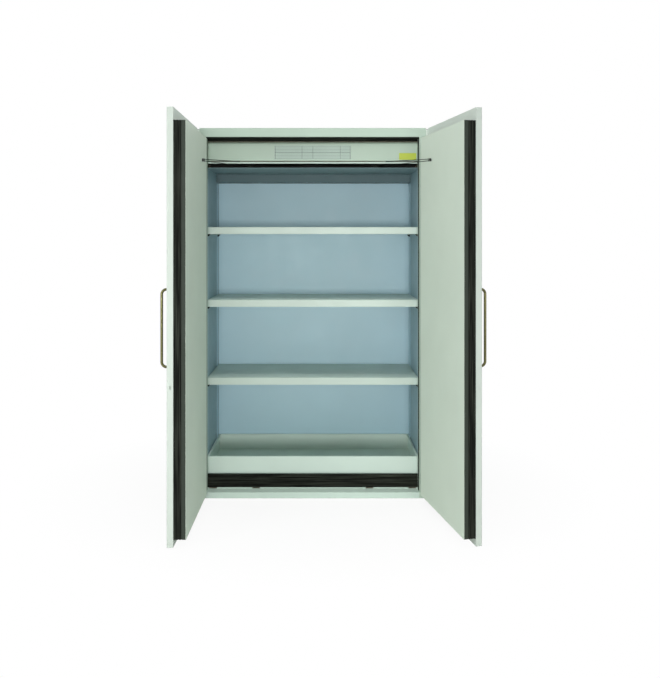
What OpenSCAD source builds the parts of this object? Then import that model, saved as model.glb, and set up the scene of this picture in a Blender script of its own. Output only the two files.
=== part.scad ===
// Free-standing fire-resistant reagent cabinet with two insulated doors, three tray shelves and a sump.
// X runs to the right, Y into the cabinet and Z up. The origin is on the floor, under the carcass's middle.

/* [Carcass] */
// Width over the side panels
body_w = 1194; // [900:1:1300]
// Depth of the carcass without its doors
body_d = 581; // [500:1:750]
// Height from the floor to the top panel
body_h = 1953; // [1700:1:2100]
// Thickness of every folded steel sheet
sheet = 1.5; // [1:0.1:2]
// Side wall from the outer skin to the inner face
side_wall = 26; // [20:1:40]
// Back wall from the inner face to the outer skin
back_wall = 76; // [50:1:90]
// Height of the inner floor
floor_h = 108; // [90:1:140]
// Distance from the ceiling up to the top panel
head_h = 204; // [190:1:260]

/* [Front frame] */
// Depth of the rebate that takes the door's insulated block
rebate = 57; // [50:1:80]
// Width of the folded front edge of a side panel
jamb_w = 34.5; // [28:0.5:45]
// Height of the pale band above the opening
lintel_h = 47.5; // [35:0.5:60]
// Height of the pale band below the opening
sill_h = 31; // [20:1:40]
// Height of bare riser between the sill's step and its seal
sill_riser = 8; // [6:1:14]
// Thickness of the fire seals
seal_t = 3; // [2:0.5:4]
// Width of the upright seals
jamb_seal_w = 4; // [3:0.5:6]
// Height of the sill seal above the inner floor
seal_over_floor = 4; // [0:1:8]
// Height of the upright seal above the header
lintel_seal_h = 16; // [10:1:24]

/* [Header and door closing gear] */
// Height of the channel for the closing ropes
channel_h = 22; // [20:1:30]
// Depth of the channel
channel_d = 62; // [56:1:80]
// Height of the rounded lip over the channel
lip_h = 9.5; // [6:0.5:14]
// Slot between the lip and the header panel
rope_slot = 5; // [4:0.5:8]
// Diameter of a closing rope
rope_d = 3.5; // [1.5:0.1:3.8]
// Radius of the rope on its sheave
sheave_rope_r = 16; // [12:1:17]
// Distance of a sheave from the cabinet's middle
sheave_x = 340; // [280:1:370]
// Distance of a rope anchor from its hinge axis, along the door
anchor_reach = 205; // [190:1:225]

/* [Doors] */
// Thickness of the outer leaf
leaf_t = 30; // [24:1:40]
// Thickness of the insulated block behind the leaf
block_t = 56; // [40:1:56]
// Gap between the leaf and the front frame
door_gap = 4; // [3:0.5:5]
// Gap between the two leaves
middle_gap = 4; // [3:0.5:8]
// Gap under a leaf
leaf_lift = 6; // [4:1:15]
// Leaf showing past the block at the hinge side
hinge_margin = 40; // [38:1:50]
// Leaf showing past the block at the free edge
free_margin = 3; // [3:0.5:8]
// Leaf showing above the block
top_margin = 58; // [52:1:70]
// Leaf showing below the block
bottom_margin = 34; // [28:1:40]
// Angle at which the left door stands open
left_open = 90; // [80:1:110]
// Angle at which the right door stands open
right_open = 102; // [80:1:110]

/* [Hinges, handles and lock] */
// Radius of a hinge knuckle
knuckle_r = 7; // [6:0.5:10]
// Radius of a hinge pin
pin_r = 4; // [3:0.5:5]
// Number of knuckles in one full-height hinge
hinge_parts = 7; // [3:2:11]
// Length of a door handle
handle_h = 345; // [250:1:400]
// Height of the handle's middle
handle_z = 970; // [900:1:1100]
// Diameter of the handle bar
bar_d = 12; // [8:0.5:14]
// Distance of the bar's axis from the leaf
handle_reach = 27; // [24:1:45]
// Distance of the handle from the leaf's free edge
handle_inset = 30; // [20:1:60]
// Height of the lock's axis
lock_z = 730; // [650:1:760]

/* [Shelves and sump] */
// Slots left above the one that carries the top shelf
shelf_1_drop = 10; // [8:1:16]
// Slots left above the one that carries the middle shelf
shelf_2_drop = 24; // [20:1:30]
// Slots left above the one that carries the bottom shelf
shelf_3_drop = 39; // [34:1:42]
// Distance between two slots
slot_pitch = 28; // [24:1:32]
// Height of a shelf's folded lip
shelf_lip = 38; // [25:1:45]
// Distance of the shelves from the header's face
shelf_setback = 23; // [15:1:60]
// Height of the sump tray
sump_h = 92; // [60:1:120]

/* [Exhaust] */
// Outer diameter of the exhaust spigot
spigot_d = 75; // [60:1:100]
// Height of the spigot above the top panel
spigot_h = 35; // [25:1:50]
// Depth of the collector under the ceiling
collector_d = 80; // [80:1:120]
// Height of the collector under the ceiling
collector_h = 47; // [35:1:60]

/* [Hidden] */
$fn = 48;

paint = [0.80, 0.85, 0.79];
inside_paint = [0.66, 0.75, 0.77];
board = [0.78, 0.74, 0.66];
seal_black = [0.09, 0.10, 0.09];
trim_grey = [0.30, 0.34, 0.29];
olive_brass = [0.42, 0.40, 0.24];
steel = [0.55, 0.56, 0.56];

// Carcass, measured from the front edge of the side panels
front_y = -body_d / 2;
half_w = body_w / 2;
inner_x = half_w - side_wall;
skin_x = half_w - sheet;
jamb_x = half_w - jamb_w;
back_face = body_d - back_wall;
ceiling_z = body_h - head_h;
lintel_z = body_h - lintel_h;
seal_foot_z = sill_h + sill_riser;
frame_back = rebate + sheet;

// Header stack, from the ceiling up
channel_top = ceiling_z + channel_h;
lip_top = channel_top + lip_h;
header_foot = lip_top + rope_slot;
header_top = lintel_z - lintel_seal_h - 4.5;
header_bevel = 10;
header_half_w = jamb_x - 2;
channel_back = rebate + channel_d;

// Closing gear
sheave_z = ceiling_z + channel_h / 2 - 1;
sheave_y = rebate + 27;
sheave_rim_r = sheave_rope_r + 3;
sheave_bore_r = 3.05;
axle_r = 3;
hub_h = 9.4;
fork_gap = 10;
fork_t = 2.5;
rope_r = rope_d / 2;
cartridge_r = 8;
cartridge_x0 = 62;
cartridge_x1 = 262;
upper_rope_x = 400;
bush_y = rebate + 9;
anchor_lower_z = sheave_z - 3;
anchor_upper_z = sheave_z + 5;
rope_end_gap = 0.3;

// Doors, drawn closed and then swung open about the hinge axis
hinge_x = half_w + knuckle_r;
hinge_y = -door_gap / 2;
leaf_back = -door_gap;
leaf_front = leaf_back - leaf_t;
leaf_x0 = half_w - 1;
leaf_x1 = middle_gap / 2;
leaf_top = body_h - 3;
block_x0 = leaf_x0 - hinge_margin;
block_x1 = leaf_x1 + free_margin;
block_z0 = leaf_lift + bottom_margin;
block_z1 = leaf_top - top_margin;
block_back = leaf_back + block_t;
edge_seal_t = 4;
edge_seal_d = block_t - 22;
trim_gap = 2;
leaf_corner_r = 7;

washer_t = 1.5;
running_gap = 0.35;
hinge_z0 = 10;
hinge_h = body_h - 2 * hinge_z0;
function hinge_cut(i) = round(hinge_z0 + i * hinge_h / hinge_parts);
hinge_plate_t = 3;
hinge_plate_d = 38;

// Anchor lug, which enters the rope channel when the door is closed
lug_t = 4;
lug_reach = 14;
lug_rope_y = 10;
anchor_base_t = 2;

// Lock in the right door
lock_x = leaf_x1 + 44;
plug_r = 7;
lock_case = [44, 15, 60];
lock_case_y = leaf_front + 10;
bolt_z = lock_z - 19;
bolt = [41, 6, 12];
bolt_travel = 10;

// Shelves
shelf_half_w = inner_x - 3.5;
shelf_front = rebate + shelf_setback;
shelf_back = back_face - 10;
upright_t = 2;
upright_w = 24;
upright_ys = [shelf_front + 15, shelf_back - 45];
first_slot_z = floor_h + 48;
slot_count = floor((ceiling_z - collector_h - 30 - first_slot_z) / slot_pitch);
clip_h = 12;
shelf_slots = [slot_count - shelf_1_drop, slot_count - shelf_2_drop, slot_count - shelf_3_drop];
function shelf_foot_z(slot) = first_slot_z + slot * slot_pitch + clip_h / 2;

sump_half_w = inner_x - 4;
sump_front = rebate + 9;
sump_back = back_face - 2;
collector_y = max(collector_d, spigot_d + 5);
duct_y = back_face - collector_y / 2;
duct_r = spigot_d / 2;
duct_wall = sheet;
damper_z = body_h - 23;

// Where a point of the left door lies once the door stands open; px and py count from the hinge axis
function swung(px, py, open) = [
    -hinge_x + px * cos(open) + py * sin(open),
    hinge_y - px * sin(open) + py * cos(open)
];
// Heading of a rope from point p that runs past the outer side of the left sheave
function rope_heading(p) =
    let (dx = -sheave_x - p[0], dy = sheave_y - p[1])
    atan2(dy, dx) + asin(sheave_rope_r / sqrt(dx * dx + dy * dy));

module at_front() translate([0, front_y, 0]) children();
module both_sides() {
    children();
    mirror([1, 0, 0]) children();
}
module box(lo, hi) translate(lo) cube(hi - lo);
// A profile drawn in Y and Z, run from x0 to x1
module run_x(x0, x1) translate([x0, 0, 0]) rotate([90, 0, 90]) linear_extrude(x1 - x0) children();
module rod(a, b, r) {
    d = b - a;
    len = norm(d);
    translate(a) rotate([0, acos(d[2] / len), atan2(d[1], d[0])]) cylinder(h = len, r = r);
}
module left_door_swing() at_front() translate([-hinge_x, hinge_y, 0]) rotate([0, 0, -left_open])
    translate([hinge_x, -hinge_y, 0]) children();
module right_door_swing() mirror([1, 0, 0]) at_front() translate([-hinge_x, hinge_y, 0])
    rotate([0, 0, -right_open]) translate([hinge_x, -hinge_y, 0]) children();

// ---- Carcass skins ----

// Side panel in plan: outer wall, front edge, rebate wall and a return that meets the liner
module side_panel_plan() {
    polygon([
        [-half_w, body_d], [-half_w, 0], [-jamb_x, 0], [-jamb_x, rebate], [-inner_x - sheet, rebate],
        [-inner_x - sheet, rebate - sheet], [-jamb_x - sheet, rebate - sheet], [-jamb_x - sheet, sheet],
        [-skin_x, sheet], [-skin_x, body_d]
    ]);
}
module side_panel() at_front() translate([0, 0, sheet]) linear_extrude(body_h - 2 * sheet) side_panel_plan();
module left_side_panel() color(paint) side_panel();
module right_side_panel() color(paint) mirror([1, 0, 0]) side_panel();

module top_panel() color(paint) at_front() difference() {
    box([-half_w, 0, body_h - sheet], [half_w, body_d, body_h]);
    translate([0, duct_y, body_h - sheet - 1]) cylinder(h = sheet + 2, r = duct_r + 0.3);
}
module back_panel() color(paint) at_front()
    box([-skin_x, body_d - sheet, sheet], [skin_x, body_d, body_h - sheet]);

foot_r = 20;
foot_inset = 70;
module foot_places() for (x = [-half_w + foot_inset, half_w - foot_inset])
    for (y = [frame_back + foot_inset, body_d - foot_inset]) translate([x, y, 0]) children();
module base_pan() color(paint) at_front() difference() {
    box([-half_w, 0, 0], [half_w, body_d, sheet]);
    foot_places() translate([0, 0, -1]) cylinder(h = sheet + 2, r = foot_r + 3);
}
module levelling_feet() color(steel) at_front() foot_places() union() {
    translate([0, 0, 1]) cylinder(h = 8, r = foot_r);
    translate([0, 0, 9]) cylinder(h = 50, r = 6);
}

// ---- Fire boards ----

module side_cores() color(board) at_front() both_sides() translate([0, 0, sheet])
    linear_extrude(body_h - 2 * sheet) polygon([
        [-skin_x, sheet], [-jamb_x - sheet, sheet], [-jamb_x - sheet, rebate - sheet],
        [-inner_x - sheet, rebate - sheet], [-inner_x - sheet, body_d - sheet], [-skin_x, body_d - sheet]
    ]);
module back_core() color(board) at_front()
    box([-inner_x - sheet, back_face + sheet, floor_h - sheet], [inner_x + sheet, body_d - sheet, ceiling_z]);
module top_core() color(board) at_front() difference() {
    run_x(-jamb_x, jamb_x) polygon([
        [sheet, lintel_z + sheet], [sheet, body_h - sheet], [body_d - sheet, body_h - sheet],
        [body_d - sheet, ceiling_z], [channel_back, ceiling_z], [channel_back, lintel_z - lintel_seal_h],
        [frame_back, lintel_z - lintel_seal_h], [frame_back, lintel_z + sheet]
    ]);
    translate([0, duct_y, ceiling_z - 1]) cylinder(h = head_h + 2, r = duct_r + 0.2);
}
module bottom_core() color(board) at_front() difference() {
    box([-inner_x - sheet, frame_back, sheet], [inner_x + sheet, body_d - sheet, floor_h - sheet]);
    foot_places() {
        translate([0, 0, 0]) cylinder(h = 12, r = foot_r + 3);
        cylinder(h = 62, r = 6);
    }
    sill_slots(25, 3);
}

// ---- Front frame ----

module front_lintel() color(paint) at_front() run_x(-jamb_x, jamb_x) polygon([
    [0, body_h - sheet], [0, lintel_z], [rebate, lintel_z], [rebate, lintel_z - lintel_seal_h],
    [frame_back, lintel_z - lintel_seal_h], [frame_back, lintel_z + sheet], [sheet, lintel_z + sheet],
    [sheet, body_h - sheet]
]);

sill_slot = [42, 5.5];
sill_slot_xs = [-534, -304, 304, 534];
module front_sill() color(paint) at_front() difference() {
    run_x(-jamb_x, jamb_x) polygon([
        [0, sheet], [0, sill_h], [rebate, sill_h], [rebate, floor_h], [frame_back, floor_h],
        [frame_back, sill_h - sheet], [sheet, sill_h - sheet], [sheet, sheet]
    ]);
    sill_slots(1, 0);
}
// Row of slots low in the sill's riser; grow widens them for the pockets behind
module sill_slots(depth, grow) for (x = sill_slot_xs * (body_w / 1194))
    box([x - sill_slot[0] / 2 - grow, rebate - 1, sill_h + 1.2 - grow],
        [x + sill_slot[0] / 2 + grow, frame_back + depth, sill_h + 1.2 + sill_slot[1] + grow]);

// Fire seals: ribbed strip over the sill, angle under the lintel, plain strips on the rebate walls
rib_pitch = 17;
module sill_seal() run_x(-jamb_x, jamb_x) difference() {
    polygon([
        [rebate - seal_t, seal_foot_z], [rebate, seal_foot_z],
        [rebate, floor_h + seal_over_floor], [rebate - seal_t, floor_h + seal_over_floor]
    ]);
    for (z = [seal_foot_z + rib_pitch : rib_pitch : floor_h - 1 - rib_pitch / 2])
        translate([rebate - seal_t, z]) circle(r = 1.2);
}
module lintel_seal() run_x(-jamb_x, jamb_x) polygon([
    [3, lintel_z], [3, lintel_z - seal_t], [rebate - seal_t, lintel_z - seal_t],
    [rebate - seal_t, lintel_z - lintel_seal_h], [rebate, lintel_z - lintel_seal_h], [rebate, lintel_z]
]);
module frame_seals() color(seal_black) at_front() {
    sill_seal();
    lintel_seal();
    both_sides() box([-jamb_x, 4, seal_foot_z], [-jamb_x + jamb_seal_w, 16, lintel_z - seal_t]);
}

// ---- Inner walls ----

module side_liner() at_front()
    box([-inner_x - sheet, rebate, floor_h - sheet], [-inner_x, back_face, ceiling_z - sheet]);
module left_liner() color(inside_paint) side_liner();
module right_liner() color(inside_paint) mirror([1, 0, 0]) side_liner();
module back_liner() color(inside_paint) at_front()
    box([-inner_x, back_face, floor_h - sheet], [inner_x, back_face + sheet, ceiling_z - sheet]);
module ceiling_liner() color(inside_paint) at_front() difference() {
    box([-inner_x, rebate, ceiling_z - sheet], [inner_x, back_face + sheet, ceiling_z]);
    translate([0, duct_y, ceiling_z - sheet - 1]) cylinder(h = sheet + 2, r = duct_r + 0.2);
}
module floor_liner() color(inside_paint) at_front()
    box([-inner_x, frame_back, floor_h - sheet], [inner_x, back_face, floor_h]);

// ---- Shelves and sump ----

// Slotted strip on a side wall; slots sit at one pitch over the strip's height
slot_h = 14;
slot_w = 5;
module upright(y) difference() {
    box([-inner_x, y - upright_w / 2, floor_h + 2],
        [-inner_x + upright_t, y + upright_w / 2, ceiling_z - collector_h - 8]);
    for (i = [0 : slot_count])
        box([-inner_x - 1, y - slot_w / 2, first_slot_z + i * slot_pitch - slot_h / 2],
            [-inner_x + upright_t + 1, y + slot_w / 2, first_slot_z + i * slot_pitch + slot_h / 2]);
}
module shelf_uprights() color(inside_paint) at_front() both_sides() for (y = upright_ys) upright(y);

// Bent clip: a tongue in the slot and a ledge that carries the shelf's side flange
module clip(slot) {
    z = first_slot_z + slot * slot_pitch;
    union() {
        box([-inner_x + 0.3, -slot_w / 2 + 0.3, z - clip_h / 2],
            [-inner_x + upright_t, slot_w / 2 - 0.3, z + clip_h / 2]);
        run_clip(z);
    }
}
module run_clip(z) translate([0, 9, 0]) rotate([90, 0, 0]) linear_extrude(18) polygon([
    [-inner_x + upright_t, z - clip_h / 2], [-inner_x + upright_t + 4, z - clip_h / 2],
    [-inner_x + upright_t + 14, z + clip_h / 2 - 3], [-inner_x + upright_t + 14, z + clip_h / 2],
    [-inner_x + upright_t, z + clip_h / 2]
]);
module shelf_clips() color(steel) at_front() both_sides() for (y = upright_ys)
    for (slot = shelf_slots) translate([0, y, 0]) clip(slot);

// Folded tray shelf: rounded front lip with a return, back lip and side flanges
shelf_r = 4;
module shelf_profile(z) {
    top = z + shelf_lip;
    difference() {
        union() {
            polygon([[shelf_front, z], [shelf_front, top - shelf_r], [shelf_front + shelf_r, top],
                [shelf_back, top], [shelf_back, top - 25],
                [shelf_front + 14, top - 25], [shelf_front + 14, z]]);
            translate([shelf_front + shelf_r, top - shelf_r]) circle(r = shelf_r);
        }
        polygon([[shelf_front + sheet, z + sheet], [shelf_front + sheet, top - shelf_r],
            [shelf_front + shelf_r, top - sheet], [shelf_back - sheet, top - sheet],
            [shelf_back - sheet, top - 26],
            [shelf_front + 15, top - 26], [shelf_front + 15, z + sheet]]);
    }
}
module shelf(slot) color(paint) at_front() {
    z = shelf_foot_z(slot);
    run_x(-shelf_half_w, shelf_half_w) shelf_profile(z);
    both_sides() box([-shelf_half_w, shelf_front + sheet, z],
        [-shelf_half_w + sheet, shelf_back - sheet, z + shelf_lip - sheet / 2]);
}
module shelf_1() shelf(shelf_slots[0]);
module shelf_2() shelf(shelf_slots[1]);
module shelf_3() shelf(shelf_slots[2]);

rim_w = 11;
module rounded_plan(x, y0, y1, r) {
    translate([-x + r, y0]) square([2 * (x - r), y1 - y0]);
    translate([-x, y0 + r]) square([2 * x, y1 - y0 - 2 * r]);
    for (cx = [-x + r, x - r]) for (cy = [y0 + r, y1 - r]) translate([cx, cy]) circle(r = r);
}
module sump_tray() color(paint) at_front() translate([0, 0, floor_h]) difference() {
    linear_extrude(sump_h) rounded_plan(sump_half_w, sump_front, sump_back, 6);
    translate([0, 0, sheet]) linear_extrude(sump_h - 2 * sheet)
        rounded_plan(sump_half_w - sheet, sump_front + sheet, sump_back - sheet, 4.5);
    translate([0, 0, sump_h / 2]) linear_extrude(sump_h)
        rounded_plan(sump_half_w - rim_w, sump_front + rim_w, sump_back - rim_w, 3);
}

// ---- Exhaust ----

// Box under the ceiling, open at the back, that draws air in through a row of slots underneath
module exhaust_collector() color(inside_paint) at_front() {
    x = inner_x - 0.4;
    y0 = back_face - collector_y;
    z0 = ceiling_z - sheet - collector_h;
    z1 = ceiling_z - sheet;
    difference() {
        box([-x, y0, z0], [x, back_face, z1]);
        box([-x + sheet, y0 + sheet, z0 + sheet], [x - sheet, back_face + 1, z1 + 1]);
        for (i = [-13 : 13]) translate([i * 40 * body_w / 1194, y0 + collector_y / 2, z0 - 1])
            linear_extrude(sheet + 2) union() {
                square([6, 34], center = true);
                for (s = [-17, 17]) translate([0, s]) circle(r = 3);
            }
    }
}
module exhaust_duct() color(steel) at_front() translate([0, duct_y, 0]) difference() {
    union() {
        translate([0, 0, ceiling_z - sheet]) cylinder(h = head_h + sheet + spigot_h, r = duct_r);
        translate([0, 0, body_h]) cylinder(h = 2, r = duct_r + 18);
    }
    translate([0, 0, ceiling_z - 10]) cylinder(h = head_h + spigot_h + 20, r = duct_r - duct_wall);
    translate([-duct_r - 5, 0, damper_z]) rotate([0, 90, 0]) cylinder(h = 2 * duct_r + 10, r = 3.05);
}
module damper_disc() color(steel) at_front() translate([0, duct_y, damper_z]) {
    rotate([90, 0, 0]) translate([0, 0, -1]) cylinder(h = 2, r = duct_r - duct_wall - 0.6);
    translate([-duct_r + 0.2, 0, 0]) rotate([0, 90, 0]) cylinder(h = 2 * duct_r - 0.4, r = 3);
}

// ---- Header ----

module header_panel() color(paint) at_front() run_x(-header_half_w, header_half_w) polygon([
    [rebate, header_foot], [rebate, header_top - header_bevel], [rebate + 6, header_top],
    [frame_back + 6, header_top], [frame_back + 0.4, header_top - header_bevel],
    [frame_back, header_foot + sheet],
    [rebate + 6, header_foot + sheet], [rebate + 6, header_foot]
]);
// Bull-nosed rail over the rope channel
nose_r = 2.6;
module header_lip() color(paint) at_front() run_x(-header_half_w, header_half_w) union() {
    y = rebate - 2.5;
    for (z = [channel_top + nose_r, lip_top - nose_r]) translate([y + nose_r, z]) circle(r = nose_r);
    translate([y, channel_top + nose_r]) square([7.5, lip_h - 2 * nose_r]);
    translate([y + nose_r, channel_top]) square([7.5 - nose_r, lip_h]);
}
// Black channel behind the lip, with the two blocks that hold the upper ropes' ends
module closer_channel() color(seal_black) at_front() difference() {
    union() {
        run_x(-header_half_w, header_half_w) polygon([
            [rebate, ceiling_z], [channel_back, ceiling_z], [channel_back, channel_top],
            [rebate, channel_top],
            [rebate, channel_top - sheet], [channel_back - sheet, channel_top - sheet],
            [channel_back - sheet, ceiling_z + sheet], [rebate, ceiling_z + sheet]
        ]);
        both_sides() box([-upper_rope_x - 8, rebate + 6, channel_top],
            [-upper_rope_x + 8, rebate + 18, header_foot + 6]);
    }
    both_sides() translate([-upper_rope_x, rebate + 5, lip_top + rope_slot / 2 + 0.4]) rotate([-90, 0, 0])
        cylinder(h = bush_y - rebate - 3, r = rope_r + 3.2);
}
// Bare ruled plate: a border, one long rule and three cross rules
plate = [410, 76];
rule_w = 1.6;
module label_plate() color([0.72, 0.80, 0.76]) at_front() {
    t = 0.8;
    z0 = (header_foot + header_top - header_bevel) / 2 - plate[1] / 2;
    difference() {
        box([-plate[0] / 2, rebate - t, z0], [plate[0] / 2, rebate, z0 + plate[1]]);
        box([-plate[0] / 2 + 4, rebate - t - 1, z0 + plate[1] / 2 - rule_w / 2],
            [plate[0] / 2 - 4, rebate - t + 0.3, z0 + plate[1] / 2 + rule_w / 2]);
        for (x = [-plate[0] / 2 + 4, -58, 0, 147, plate[0] / 2 - 4 - rule_w])
            box([x, rebate - t - 1, z0 + 4], [x + rule_w, rebate - t + 0.3, z0 + plate[1] - 4]);
    }
}
tag = [92, 36];
module inspection_tag() color([0.72, 0.78, 0.22]) at_front()
    translate([header_half_w - tag[0] - 6, rebate - 0.5, header_foot + 6]) cube([tag[0], 0.5, tag[1]]);

// ---- Closing gear ----

module sheave_bracket() at_front() difference() {
    union() {
        for (z = [sheave_z - fork_gap / 2 - fork_t, sheave_z + fork_gap / 2])
            box([-sheave_x - 24, rebate + 4, z], [-sheave_x + 24, channel_back - 12, z + fork_t]);
        box([-sheave_x - 24, channel_back - 15, sheave_z - fork_gap / 2 - fork_t],
            [-sheave_x + 24, channel_back - sheet, sheave_z + fork_gap / 2 + fork_t]);
    }
    translate([-sheave_x, sheave_y, ceiling_z]) cylinder(h = channel_h, r = axle_r);
}
module sheave_brackets() color(seal_black) both_sides() sheave_bracket();
module sheave_axles() color(steel) both_sides() at_front() translate([-sheave_x, sheave_y, 0]) {
    z0 = sheave_z - fork_gap / 2 - fork_t;
    translate([0, 0, z0]) cylinder(h = fork_gap + 2 * fork_t, r = axle_r);
    translate([0, 0, z0 + fork_gap + 2 * fork_t]) cylinder(h = 1.2, r = axle_r + 2);
}
// Grooved sheave turned about its own axis
module sheave() translate([0, 0, sheave_z]) rotate_extrude() polygon([
    [sheave_bore_r, -hub_h / 2], [6, -hub_h / 2], [6, -4], [sheave_rim_r, -4], [sheave_rim_r, -3.4],
    [sheave_rope_r - rope_r - 0.4, -2], [sheave_rope_r - rope_r - 0.4, 2], [sheave_rim_r, 3.4],
    [sheave_rim_r, 4], [6, 4], [6, hub_h / 2], [sheave_bore_r, hub_h / 2]
]);
module left_sheave() color(steel) at_front() translate([-sheave_x, sheave_y, 0]) sheave();
module right_sheave() color(steel) at_front() translate([sheave_x, sheave_y, 0]) sheave();

module spring_cartridges() color(steel) both_sides() at_front() {
    y = sheave_y + sheave_rope_r;
    difference() {
        translate([-cartridge_x1, y, sheave_z]) rotate([0, 90, 0])
            cylinder(h = cartridge_x1 - cartridge_x0, r = cartridge_r);
        translate([-cartridge_x1 - 1, y, sheave_z]) rotate([0, 90, 0]) cylinder(h = 13, r = rope_r + 0.4);
    }
    for (x = [cartridge_x0 + 20, cartridge_x1 - 40])
        box([-x - 12, y + cartridge_r - 2, sheave_z - 5], [-x, channel_back - sheet, sheave_z + 5]);
}

// Start of a rope at the lug's near face; lift is its height
function anchor_point(open, lift) =
    let (p = swung(anchor_reach - lug_t / 2 - rope_end_gap, block_back - hinge_y + lug_rope_y, open))
    [p[0], p[1], lift];

module inner_rope(open) {
    p = anchor_point(open, anchor_lower_z);
    turn_end = rope_heading(p) + 90;
    translate([-sheave_x, sheave_y, sheave_z]) {
        rotate([0, 0, 90]) rotate_extrude(angle = turn_end - 90)
            translate([sheave_rope_r, 0]) circle(r = rope_r);
        translate([0, sheave_rope_r, 0]) rotate([0, 90, 0])
            cylinder(h = sheave_x - cartridge_x1 + 11, r = rope_r);
    }
}
module inner_ropes() color(steel) {
    at_front() inner_rope(left_open);
    mirror([1, 0, 0]) at_front() inner_rope(right_open);
}
module outer_ropes(open) {
    low = anchor_point(open, anchor_lower_z);
    high = anchor_point(open, anchor_upper_z);
    turn = rope_heading(low) + 90;
    rod(low, [-sheave_x + sheave_rope_r * cos(turn), sheave_y + sheave_rope_r * sin(turn), sheave_z], rope_r);
    rod(high, [-upper_rope_x, bush_y, lip_top + rope_slot / 2 + 0.4], rope_r);
}
module left_ropes() color(steel) at_front() outer_ropes(left_open);
module right_ropes() color(steel) mirror([1, 0, 0]) at_front() outer_ropes(right_open);

// ---- Doors, drawn closed as the left one ----

// Leaf in plan, with its two front edges rounded
module leaf_plan() union() {
    r = leaf_corner_r;
    translate([-leaf_x0, leaf_front + r]) square([leaf_x0 - leaf_x1, leaf_t - r]);
    translate([-leaf_x0 + r, leaf_front]) square([leaf_x0 - leaf_x1 - 2 * r, leaf_t]);
    for (x = [-leaf_x0 + r, -leaf_x1 - r]) translate([x, leaf_front + r]) circle(r = r);
}
core_x0 = block_x0 - edge_seal_t;
core_x1 = block_x1 + edge_seal_t;
core_z0 = block_z0 + edge_seal_t;
core_z1 = block_z1 - edge_seal_t;
leaf_core_lo = [-leaf_x0 + sheet + leaf_corner_r, leaf_front + sheet, leaf_lift + sheet];
leaf_core_hi = [-leaf_x1 - sheet - leaf_corner_r, leaf_back - sheet, leaf_top - sheet];

// Steel leaf: a hollow box, open where the block passes through its back, with the door's half of each hinge
module door_skin() difference() {
    union() {
        difference() {
            translate([0, 0, leaf_lift]) linear_extrude(leaf_top - leaf_lift) leaf_plan();
            box(leaf_core_lo, leaf_core_hi);
            box([-core_x0, leaf_back - sheet - 1, core_z0], [-core_x1, leaf_back + 1, core_z1]);
        }
        for (i = [1 : 2 : hinge_parts - 2]) {
            z0 = hinge_cut(i) + washer_t + running_gap;
            z1 = hinge_cut(i + 1) - running_gap;
            translate([-hinge_x, hinge_y, z0]) cylinder(h = z1 - z0, r = knuckle_r);
            box([-leaf_x0 - hinge_plate_t, leaf_front + leaf_corner_r, z0], [-leaf_x0, hinge_y, z1]);
        }
    }
    translate([-hinge_x, hinge_y, 0]) cylinder(h = body_h, r = pin_r + 0.05);
}
module door_core() union() {
    box(leaf_core_lo, leaf_core_hi);
    box([-core_x0, leaf_back - sheet, core_z0], [-core_x1, block_back - sheet, core_z1]);
}
module door_liner() box([-block_x0, block_back - sheet, block_z0], [-block_x1, block_back, block_z1]);
// Grey profile round the rim of the liner, with a dark step towards the seal
module edge_trim() difference() {
    box([-block_x0, leaf_back + edge_seal_d, block_z0], [-block_x1, block_back - sheet, block_z1]);
    box([-core_x0, leaf_back + edge_seal_d - 1, core_z0], [-core_x1, block_back, core_z1]);
    difference() {
        box([-block_x0 - 1, leaf_back + edge_seal_d - 1, block_z0 - 1],
            [-block_x1 + 1, leaf_back + edge_seal_d + trim_gap, block_z1 + 1]);
        box([-block_x0 + 1.5, leaf_back + edge_seal_d - 2, block_z0 + 1.5],
            [-block_x1 - 1.5, leaf_back + edge_seal_d + trim_gap + 1, block_z1 - 1.5]);
    }
}
// Black seal that frames the block, with two running grooves
module edge_seal() difference() {
    box([-block_x0, leaf_back, block_z0], [-block_x1, leaf_back + edge_seal_d, block_z1]);
    box([-core_x0, leaf_back - 1, core_z0], [-core_x1, leaf_back + edge_seal_d + 1, core_z1]);
    for (y = [leaf_back + edge_seal_d * 0.3, leaf_back + edge_seal_d * 0.7]) difference() {
        box([-block_x0 - 1, y - 2, block_z0 - 1], [-block_x1 + 1, y + 2, block_z1 + 1]);
        box([-block_x0 + 1, y - 3, block_z0 + 1], [-block_x1 - 1, y + 3, block_z1 - 1]);
    }
}
bend_r = 22;
module handle() {
    x = -leaf_x1 - handle_inset;
    bar_y = leaf_front - handle_reach;
    r = bar_d / 2;
    translate([x, 0, handle_z]) union() {
        translate([0, bar_y, -handle_h / 2 + bend_r]) cylinder(h = handle_h - 2 * bend_r, r = r);
        for (s = [-1, 1]) {
            translate([0, bar_y + bend_r, s * (handle_h / 2 - bend_r)]) rotate([0, s > 0 ? 0 : 180, 0])
                rotate([0, -90, 0]) rotate([0, 0, -90]) rotate_extrude(angle = 90)
                    translate([bend_r, 0]) circle(r = r);
            translate([0, leaf_front, s * handle_h / 2]) rotate([90, 0, 0])
                cylinder(h = handle_reach - bend_r, r = r);
            translate([0, leaf_front, s * handle_h / 2]) rotate([90, 0, 0]) cylinder(h = 3, r = r + 3);
        }
    }
}
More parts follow.
